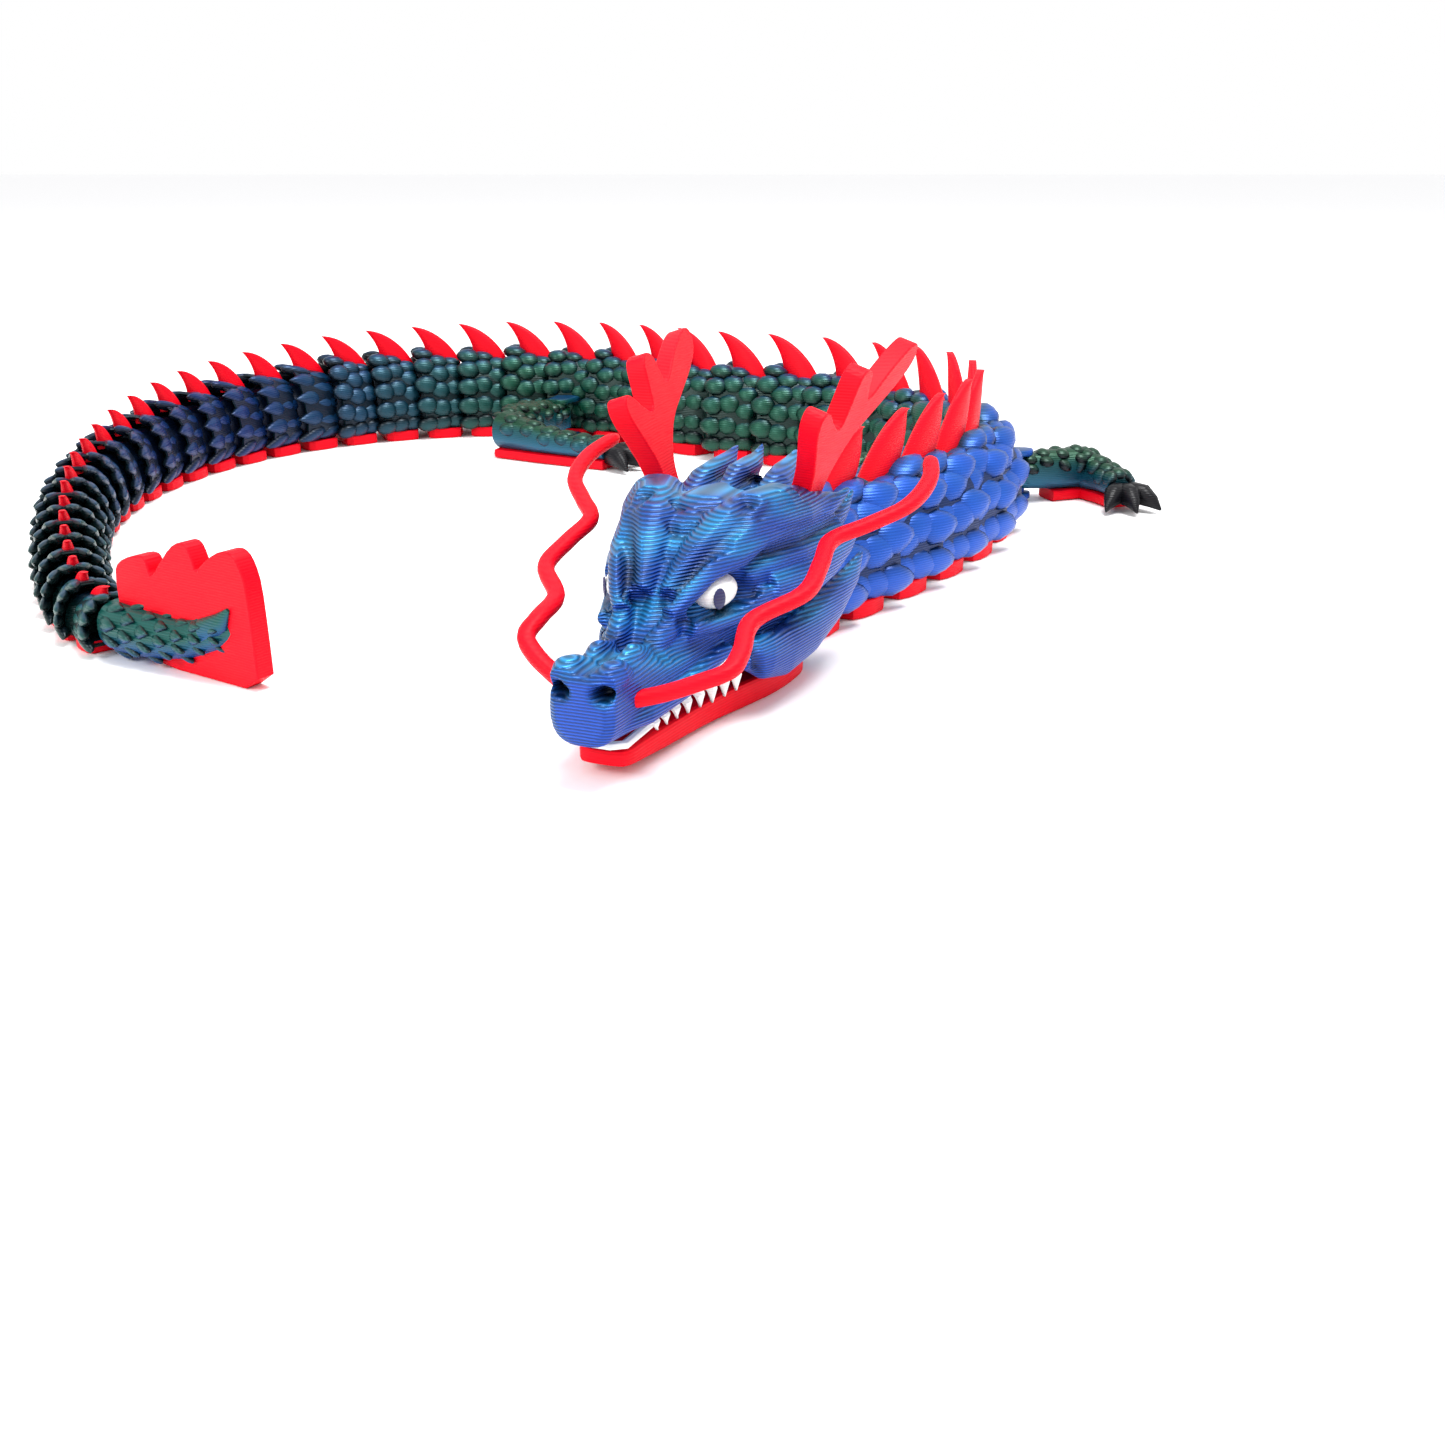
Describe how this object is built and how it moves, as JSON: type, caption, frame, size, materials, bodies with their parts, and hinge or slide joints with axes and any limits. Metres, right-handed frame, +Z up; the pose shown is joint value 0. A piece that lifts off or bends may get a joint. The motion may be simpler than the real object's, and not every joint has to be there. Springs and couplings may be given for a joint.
{
  "type": "jointed toy dragon",
  "caption": "Jointed printed dragon toy with a chain of hinged scaly links, four swinging legs, antlers, long wavy whiskers and a finned tail, lying in a loose hook.",
  "frame": {"origin": "on the surface the toy lies on, under the middle of its whole outline", "axes": "+Z up; the toy's back end of the head points to +Y with a little +X; the body hooks round to the left and the tail comes back towards the head"},
  "size_m": [0.1456, 0.1734, 0.0281],
  "materials": {
    "silk_blue_green": "two-colour silk printing plastic, blue turning green, with fine layer lines",
    "red_plastic": "bright red printing plastic with fine layer lines",
    "white_plastic": "white printing plastic",
    "black_plastic": "black printing plastic"
  },
  "bodies": {
    "head": {"head_shell": "silk_blue_green", "lower_jaw": "red_plastic", "upper_teeth": "white_plastic", "eye_right": "white_plastic", "antler_right": "red_plastic", "whisker_right": "red_plastic", "eye_left": "white_plastic", "antler_left": "red_plastic", "whisker_left": "red_plastic"},
    "neck_link_01": {"neck_link_01": "silk_blue_green"},
    "neck_link_02": {"neck_link_02": "silk_blue_green"},
    "neck_link_03": {"neck_link_03": "silk_blue_green"},
    "neck_link_04": {"neck_link_04": "silk_blue_green"},
    "neck_link_05": {"neck_link_05": "silk_blue_green"},
    "neck_link_06": {"neck_link_06": "silk_blue_green"},
    "neck_link_07": {"neck_link_07": "silk_blue_green"},
    "shoulder_link": {"shoulder_link": "silk_blue_green"},
    "body_link_01": {"body_link_01": "silk_blue_green"},
    "body_link_02": {"body_link_02": "silk_blue_green"},
    "body_link_03": {"body_link_03": "silk_blue_green"},
    "body_link_04": {"body_link_04": "silk_blue_green"},
    "body_link_05": {"body_link_05": "silk_blue_green"},
    "body_link_06": {"body_link_06": "silk_blue_green"},
    "body_link_07": {"body_link_07": "silk_blue_green"},
    "body_link_08": {"body_link_08": "silk_blue_green"},
    "hip_link": {"hip_link": "silk_blue_green"},
    "tail_link_01": {"tail_link_01": "silk_blue_green"},
    "tail_link_02": {"tail_link_02": "silk_blue_green"},
    "tail_link_03": {"tail_link_03": "silk_blue_green"},
    "tail_link_04": {"tail_link_04": "silk_blue_green"},
    "tail_link_05": {"tail_link_05": "silk_blue_green"},
    "tail_link_06": {"tail_link_06": "silk_blue_green"},
    "tail_link_07": {"tail_link_07": "silk_blue_green"},
    "tail_link_08": {"tail_link_08": "silk_blue_green"},
    "tail_link_09": {"tail_link_09": "silk_blue_green"},
    "tail_link_10": {"tail_link_10": "silk_blue_green"},
    "tail_link_11": {"tail_link_11": "silk_blue_green"},
    "tail_link_12": {"tail_link_12": "silk_blue_green"},
    "tail_link_13": {"tail_link_13": "silk_blue_green"},
    "tail_link_14": {"tail_link_14": "silk_blue_green"},
    "tail_link_15": {"tail_link_15": "silk_blue_green"},
    "tail_link_16": {"tail_link_16": "silk_blue_green"},
    "tail_link_17": {"tail_link_17": "silk_blue_green"},
    "tail_link_18": {"tail_link_18": "silk_blue_green"},
    "tail_link_19": {"tail_link_19": "silk_blue_green"},
    "tail_link_20": {"tail_link_20": "silk_blue_green"},
    "tail_link_21": {"tail_link_21": "silk_blue_green"},
    "tail_link_22": {"tail_link_22": "silk_blue_green"},
    "tail_link_23": {"tail_link_23": "silk_blue_green"},
    "tail_link_24": {"tail_link_24": "silk_blue_green"},
    "tail_tip": {"tail_tip": "silk_blue_green"},
    "front_leg_left": {"front_leg_left": "silk_blue_green"},
    "front_leg_right": {"front_leg_right": "silk_blue_green"},
    "hind_leg_left": {"hind_leg_left": "silk_blue_green"},
    "hind_leg_right": {"hind_leg_right": "silk_blue_green"}
  },
  "joints": [
    {"name": "neck_link_01_hinge", "type": "hinge", "parent": "head", "child": "neck_link_01", "pos_m": [0.01751, -0.05078, 0.005], "axis": [0, 0, 1], "range_deg": [-7, 28]},
    {"name": "neck_link_02_hinge", "type": "hinge", "parent": "neck_link_01", "child": "neck_link_02", "pos_m": [0.0222, -0.04298, 0.005], "axis": [0, 0, -1], "range_deg": [-24.5, 10.5]},
    {"name": "neck_link_03_hinge", "type": "hinge", "parent": "neck_link_02", "child": "neck_link_03", "pos_m": [0.0278, -0.03581, 0.005], "axis": [0, 0, 1], "range_deg": [-19, 16]},
    {"name": "neck_link_04_hinge", "type": "hinge", "parent": "neck_link_03", "child": "neck_link_04", "pos_m": [0.03321, -0.0285, 0.005], "axis": [0, 0, -1], "range_deg": [-14.8, 20.2]},
    {"name": "neck_link_05_hinge", "type": "hinge", "parent": "neck_link_04", "child": "neck_link_05", "pos_m": [0.03827, -0.02093, 0.005], "axis": [0, 0, 1], "range_deg": [-21.5, 13.5]},
    {"name": "neck_link_06_hinge", "type": "hinge", "parent": "neck_link_05", "child": "neck_link_06", "pos_m": [0.04278, -0.01303, 0.005], "axis": [0, 0, -1], "range_deg": [-8.5, 26.5]},
    {"name": "neck_link_07_hinge", "type": "hinge", "parent": "neck_link_06", "child": "neck_link_07", "pos_m": [0.04601, -0.00452, 0.005], "axis": [0, 0, 1], "range_deg": [-31.5, 3.5]},
    {"name": "shoulder_link_hinge", "type": "hinge", "parent": "neck_link_07", "child": "shoulder_link", "pos_m": [0.04708, 0.00452, 0.005], "axis": [0, 0, -1], "range_deg": [-3.8, 31.2]},
    {"name": "body_link_01_hinge", "type": "hinge", "parent": "shoulder_link", "child": "body_link_01", "pos_m": [0.04598, 0.01355, 0.005], "axis": [0, 0, 1], "range_deg": [-30.8, 4.2]},
    {"name": "body_link_02_hinge", "type": "hinge", "parent": "body_link_01", "child": "body_link_02", "pos_m": [0.04283, 0.02209, 0.005], "axis": [0, 0, -1], "range_deg": [-4.5, 30.5]},
    {"name": "body_link_03_hinge", "type": "hinge", "parent": "body_link_02", "child": "body_link_03", "pos_m": [0.03784, 0.0297, 0.005], "axis": [0, 0, 1], "range_deg": [-31, 4]},
    {"name": "body_link_04_hinge", "type": "hinge", "parent": "body_link_03", "child": "body_link_04", "pos_m": [0.03121, 0.03593, 0.005], "axis": [0, 0, -1], "range_deg": [-3.5, 31.5]},
    {"name": "body_link_05_hinge", "type": "hinge", "parent": "body_link_04", "child": "body_link_05", "pos_m": [0.02339, 0.04031, 0.005], "axis": [0, 0, 1], "range_deg": [-18.5, 13]},
    {"name": "body_link_06_hinge", "type": "hinge", "parent": "body_link_05", "child": "body_link_06", "pos_m": [0.01562, 0.04449, 0.005], "axis": [0, 0, -1], "range_deg": [-12.5, 5.5]},
    {"name": "body_link_07_hinge", "type": "hinge", "parent": "body_link_06", "child": "body_link_07", "pos_m": [0.00898, 0.05011, 0.005], "axis": [0, 0, 1], "range_deg": [-16.5, 12]},
    {"name": "body_link_08_hinge", "type": "hinge", "parent": "body_link_07", "child": "body_link_08", "pos_m": [0.00255, 0.05574, 0.005], "axis": [0, 0, -1], "range_deg": [-11, 24]},
    {"name": "hip_link_hinge", "type": "hinge", "parent": "body_link_08", "child": "hip_link", "pos_m": [-0.00436, 0.06054, 0.005], "axis": [0, 0, 1], "range_deg": [-31.5, 3.5]},
    {"name": "tail_link_01_hinge", "type": "hinge", "parent": "hip_link", "child": "tail_link_01", "pos_m": [-0.0121, 0.06348, 0.005], "axis": [0, 0, -1], "range_deg": [-4.6, 30.4]},
    {"name": "tail_link_02_hinge", "type": "hinge", "parent": "tail_link_01", "child": "tail_link_02", "pos_m": [-0.02017, 0.06459, 0.005], "axis": [0, 0, 1], "range_deg": [-29.2, 5.8]},
    {"name": "tail_link_03_hinge", "type": "hinge", "parent": "tail_link_02", "child": "tail_link_03", "pos_m": [-0.02816, 0.06405, 0.005], "axis": [0, 0, -1], "range_deg": [-6.9, 28.1]},
    {"name": "tail_link_04_hinge", "type": "hinge", "parent": "tail_link_03", "child": "tail_link_04", "pos_m": [-0.03578, 0.06208, 0.005], "axis": [0, 0, 1], "range_deg": [-27, 8]},
    {"name": "tail_link_05_hinge", "type": "hinge", "parent": "tail_link_04", "child": "tail_link_05", "pos_m": [-0.04284, 0.05893, 0.005], "axis": [0, 0, -1], "range_deg": [-8, 27]},
    {"name": "tail_link_06_hinge", "type": "hinge", "parent": "tail_link_05", "child": "tail_link_06", "pos_m": [-0.04918, 0.05474, 0.005], "axis": [0, 0, 1], "range_deg": [-27, 8]},
    {"name": "tail_link_07_hinge", "type": "hinge", "parent": "tail_link_06", "child": "tail_link_07", "pos_m": [-0.05463, 0.04965, 0.005], "axis": [0, 0, -1], "range_deg": [-8, 27]},
    {"name": "tail_link_08_hinge", "type": "hinge", "parent": "tail_link_07", "child": "tail_link_08", "pos_m": [-0.05909, 0.04384, 0.005], "axis": [0, 0, 1], "range_deg": [-26.1, 8.9]},
    {"name": "tail_link_09_hinge", "type": "hinge", "parent": "tail_link_08", "child": "tail_link_09", "pos_m": [-0.06256, 0.03755, 0.005], "axis": [0, 0, -1], "range_deg": [-9.8, 25.2]},
    {"name": "tail_link_10_hinge", "type": "hinge", "parent": "tail_link_09", "child": "tail_link_10", "pos_m": [-0.0651, 0.03097, 0.005], "axis": [0, 0, 1], "range_deg": [-24.4, 10.6]},
    {"name": "tail_link_11_hinge", "type": "hinge", "parent": "tail_link_10", "child": "tail_link_11", "pos_m": [-0.06681, 0.02427, 0.005], "axis": [0, 0, -1], "range_deg": [-11.5, 23.5]},
    {"name": "tail_link_12_hinge", "type": "hinge", "parent": "tail_link_11", "child": "tail_link_12", "pos_m": [-0.06778, 0.01757, 0.005], "axis": [0, 0, 1], "range_deg": [-23.1, 11.9]},
    {"name": "tail_link_13_hinge", "type": "hinge", "parent": "tail_link_12", "child": "tail_link_13", "pos_m": [-0.06808, 0.01093, 0.005], "axis": [0, 0, -1], "range_deg": [-12.3, 22.7]},
    {"name": "tail_link_14_hinge", "type": "hinge", "parent": "tail_link_13", "child": "tail_link_14", "pos_m": [-0.06778, 0.00444, 0.005], "axis": [0, 0, 1], "range_deg": [-22.4, 12.6]},
    {"name": "tail_link_15_hinge", "type": "hinge", "parent": "tail_link_14", "child": "tail_link_15", "pos_m": [-0.06695, -0.00187, 0.005], "axis": [0, 0, -1], "range_deg": [-13, 22]},
    {"name": "tail_link_16_hinge", "type": "hinge", "parent": "tail_link_15", "child": "tail_link_16", "pos_m": [-0.06566, -0.00797, 0.005], "axis": [0, 0, 1], "range_deg": [-21.2, 13.8]},
    {"name": "tail_link_17_hinge", "type": "hinge", "parent": "tail_link_16", "child": "tail_link_17", "pos_m": [-0.064, -0.01383, 0.005], "axis": [0, 0, -1], "range_deg": [-14.5, 20.5]},
    {"name": "tail_link_18_hinge", "type": "hinge", "parent": "tail_link_17", "child": "tail_link_18", "pos_m": [-0.06209, -0.01947, 0.005], "axis": [0, 0, 1], "range_deg": [-19.8, 15.2]},
    {"name": "tail_link_19_hinge", "type": "hinge", "parent": "tail_link_18", "child": "tail_link_19", "pos_m": [-0.06, -0.02491, 0.005], "axis": [0, 0, -1], "range_deg": [-16, 19]},
    {"name": "tail_link_20_hinge", "type": "hinge", "parent": "tail_link_19", "child": "tail_link_20", "pos_m": [-0.05783, -0.03016, 0.005], "axis": [0, 0, 1], "range_deg": [-19.2, 15.8]},
    {"name": "tail_link_21_hinge", "type": "hinge", "parent": "tail_link_20", "child": "tail_link_21", "pos_m": [-0.05556, -0.03522, 0.005], "axis": [0, 0, -1], "range_deg": [-15.7, 19.3]},
    {"name": "tail_link_22_hinge", "type": "hinge", "parent": "tail_link_21", "child": "tail_link_22", "pos_m": [-0.05319, -0.04008, 0.005], "axis": [0, 0, 1], "range_deg": [-19.5, 15.5]},
    {"name": "tail_link_23_hinge", "type": "hinge", "parent": "tail_link_22", "child": "tail_link_23", "pos_m": [-0.05071, -0.04474, 0.005], "axis": [0, 0, -1], "range_deg": [-11.2, 23.8]},
    {"name": "tail_link_24_hinge", "type": "hinge", "parent": "tail_link_23", "child": "tail_link_24", "pos_m": [-0.04782, -0.04898, 0.005], "axis": [0, 0, 1], "range_deg": [-28, 7]},
    {"name": "tail_tip_hinge", "type": "hinge", "parent": "tail_link_24", "child": "tail_tip", "pos_m": [-0.0443, -0.05253, 0.005], "axis": [0, 0, -1], "range_deg": [-5, 30]},
    {"name": "front_leg_left_hinge", "type": "hinge", "parent": "shoulder_link", "child": "front_leg_left", "pos_m": [0.05545, 0.01145, 0.005], "axis": [0, 0, -1], "range_deg": [-25, 25]},
    {"name": "front_leg_right_hinge", "type": "hinge", "parent": "shoulder_link", "child": "front_leg_right", "pos_m": [0.03729, 0.00925, 0.005], "axis": [0, 0, 1], "range_deg": [-25, 25]},
    {"name": "hind_leg_left_hinge", "type": "hinge", "parent": "hip_link", "child": "hind_leg_left", "pos_m": [-0.00641, 0.07032, 0.005], "axis": [0, 0, -1], "range_deg": [-25, 20]},
    {"name": "hind_leg_right_hinge", "type": "hinge", "parent": "hip_link", "child": "hind_leg_right", "pos_m": [-0.01237, 0.05458, 0.005], "axis": [0, 0, 1], "range_deg": [-25, 20]}
  ]
}
